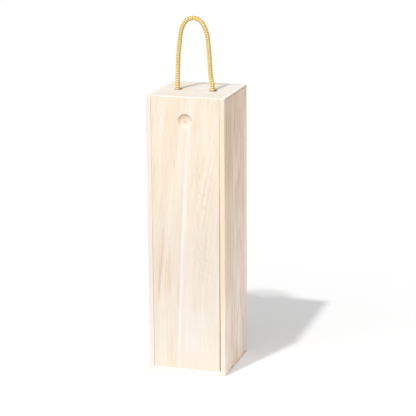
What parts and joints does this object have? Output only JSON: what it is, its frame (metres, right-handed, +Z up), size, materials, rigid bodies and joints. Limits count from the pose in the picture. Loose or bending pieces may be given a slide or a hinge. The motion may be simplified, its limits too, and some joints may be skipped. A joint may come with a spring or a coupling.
{
  "type": "wine box",
  "caption": "Upright wooden box for one bottle: the lid slides up out of side grooves, a shelf with a round hole steadies the neck, and a knotted rope handle stands on top.",
  "frame": {"origin": "middle of the underside, where the box stands", "axes": "+Z up along the height, -Y out of the sliding lid, +X to the right as one faces the lid"},
  "size_m": [0.1, 0.1, 0.4472],
  "materials": {
    "side_wood": "bare sanded",
    "panel_wood": "bare sanded",
    "lid_wood": "bare sanded",
    "rope": "braided, light sheen",
    "brad_steel": "dull"
  },
  "bodies": {
    "box": {"left_side": "side_wood", "right_side": "side_wood", "back_panel": "panel_wood", "top_panel": "panel_wood", "bottom_panel": "panel_wood", "neck_shelf": "panel_wood", "left_rope_end": "rope", "right_rope_end": "rope", "top_brads": "brad_steel", "bottom_brads": "brad_steel", "back_brads": "brad_steel"},
    "lid": {"lid": "lid_wood"},
    "handle": {"rope_handle": "rope"}
  },
  "joints": [
    {"name": "lid_slide", "type": "slide", "parent": "box", "child": "lid", "axis": [0, 0, 1], "range_m": [0, 0.352]},
    {"name": "handle_flop", "type": "hinge", "parent": "box", "child": "handle", "pos_m": [-0.0015, -0.003, 0.35805], "axis": [-1, 0, 0], "range_deg": [-25, 80]}
  ]
}
